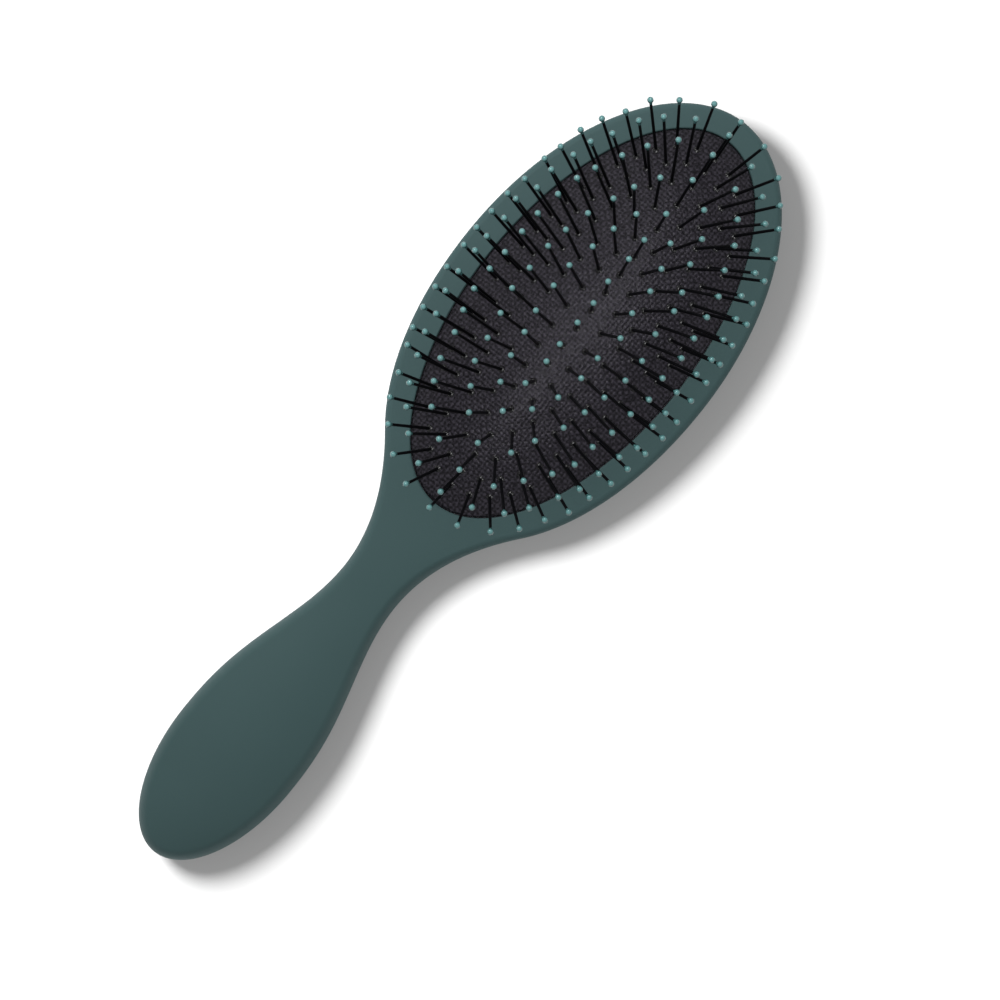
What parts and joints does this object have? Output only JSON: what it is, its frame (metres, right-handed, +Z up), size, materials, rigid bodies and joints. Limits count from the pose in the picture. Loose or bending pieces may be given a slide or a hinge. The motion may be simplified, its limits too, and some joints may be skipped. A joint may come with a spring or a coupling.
{
  "type": "cushion hair brush",
  "caption": "Oval paddle hair brush: a slim waisted handle, an oval head with a domed air cushion, and splayed ball-tipped pins that sink as the cushion is pressed.",
  "frame": {"origin": "under the middle of the brush, on the surface that its back lies on", "axes": "+X from the butt of the handle to the tip of the head, +Z up out of the cushion along the pins"},
  "size_m": [0.235, 0.0738, 0.0415],
  "materials": {
    "soft_touch": "soft-touch matte, dark teal grey",
    "cushion_rubber": "matt moulded rubber with a fine mesh texture",
    "pin_nylon": "satin near-black nylon",
    "ball_tips": "teal dipped tip, glossy"
  },
  "bodies": {
    "handle": {"handle_body": "soft_touch", "cushion": "cushion_rubber"},
    "centre_row": {"pins_centre_row_01": "pin_nylon", "pins_centre_row_02": "pin_nylon"},
    "ring_1": {"pins_ring_1_01": "pin_nylon", "pins_ring_1_02": "pin_nylon", "pins_ring_1_03": "pin_nylon", "pins_ring_1_04": "pin_nylon", "pins_ring_1_05": "pin_nylon", "pins_ring_1_06": "pin_nylon", "pins_ring_1_07": "pin_nylon", "pins_ring_1_08": "pin_nylon", "pins_ring_1_09": "pin_nylon", "pins_ring_1_10": "pin_nylon", "pins_ring_1_11": "pin_nylon", "pins_ring_1_12": "pin_nylon"},
    "ring_2": {"pins_ring_2_01": "pin_nylon", "pins_ring_2_02": "pin_nylon", "pins_ring_2_03": "pin_nylon", "pins_ring_2_04": "pin_nylon", "pins_ring_2_05": "pin_nylon", "pins_ring_2_06": "pin_nylon", "pins_ring_2_07": "pin_nylon", "pins_ring_2_08": "pin_nylon", "pins_ring_2_09": "pin_nylon", "pins_ring_2_10": "pin_nylon", "pins_ring_2_11": "pin_nylon"},
    "ring_3": {"pins_ring_3_01": "pin_nylon", "pins_ring_3_02": "pin_nylon", "pins_ring_3_03": "pin_nylon", "pins_ring_3_04": "pin_nylon", "pins_ring_3_05": "pin_nylon", "pins_ring_3_06": "pin_nylon", "pins_ring_3_07": "pin_nylon", "pins_ring_3_08": "pin_nylon", "pins_ring_3_09": "pin_nylon"},
    "ring_4": {"pins_ring_4_01": "pin_nylon", "pins_ring_4_02": "pin_nylon", "pins_ring_4_03": "pin_nylon", "pins_ring_4_04": "pin_nylon", "pins_ring_4_05": "pin_nylon", "pins_ring_4_06": "pin_nylon", "pins_ring_4_07": "pin_nylon"},
    "ring_5": {"pins_ring_5_01": "pin_nylon", "pins_ring_5_02": "pin_nylon", "pins_ring_5_03": "pin_nylon", "pins_ring_5_04": "pin_nylon", "pins_ring_5_05": "pin_nylon"}
  },
  "joints": [
    {"name": "cushion_press", "type": "slide", "parent": "handle", "child": "centre_row", "axis": [0, 0, -1], "range_m": [0, 0.005], "stiffness_N_per_m": 2000, "deforming": ["cushion"]},
    {"name": "ring_1_sink", "type": "slide", "parent": "handle", "child": "ring_1", "axis": [0, 0, -1], "range_m": [0, 0.00171]},
    {"name": "ring_2_sink", "type": "slide", "parent": "handle", "child": "ring_2", "axis": [0, 0, -1], "range_m": [0, 0.0026]},
    {"name": "ring_3_sink", "type": "slide", "parent": "handle", "child": "ring_3", "axis": [0, 0, -1], "range_m": [0, 0.00354]},
    {"name": "ring_4_sink", "type": "slide", "parent": "handle", "child": "ring_4", "axis": [0, 0, -1], "range_m": [0, 0.00429]},
    {"name": "ring_5_sink", "type": "slide", "parent": "handle", "child": "ring_5", "axis": [0, 0, -1], "range_m": [0, 0.00485]}
  ],
  "couplings": [
    {"joint": "ring_1_sink", "follows": "cushion_press", "ratio": 0.3358},
    {"joint": "ring_2_sink", "follows": "cushion_press", "ratio": 0.5142},
    {"joint": "ring_3_sink", "follows": "cushion_press", "ratio": 0.703},
    {"joint": "ring_4_sink", "follows": "cushion_press", "ratio": 0.8518},
    {"joint": "ring_5_sink", "follows": "cushion_press", "ratio": 0.965}
  ]
}
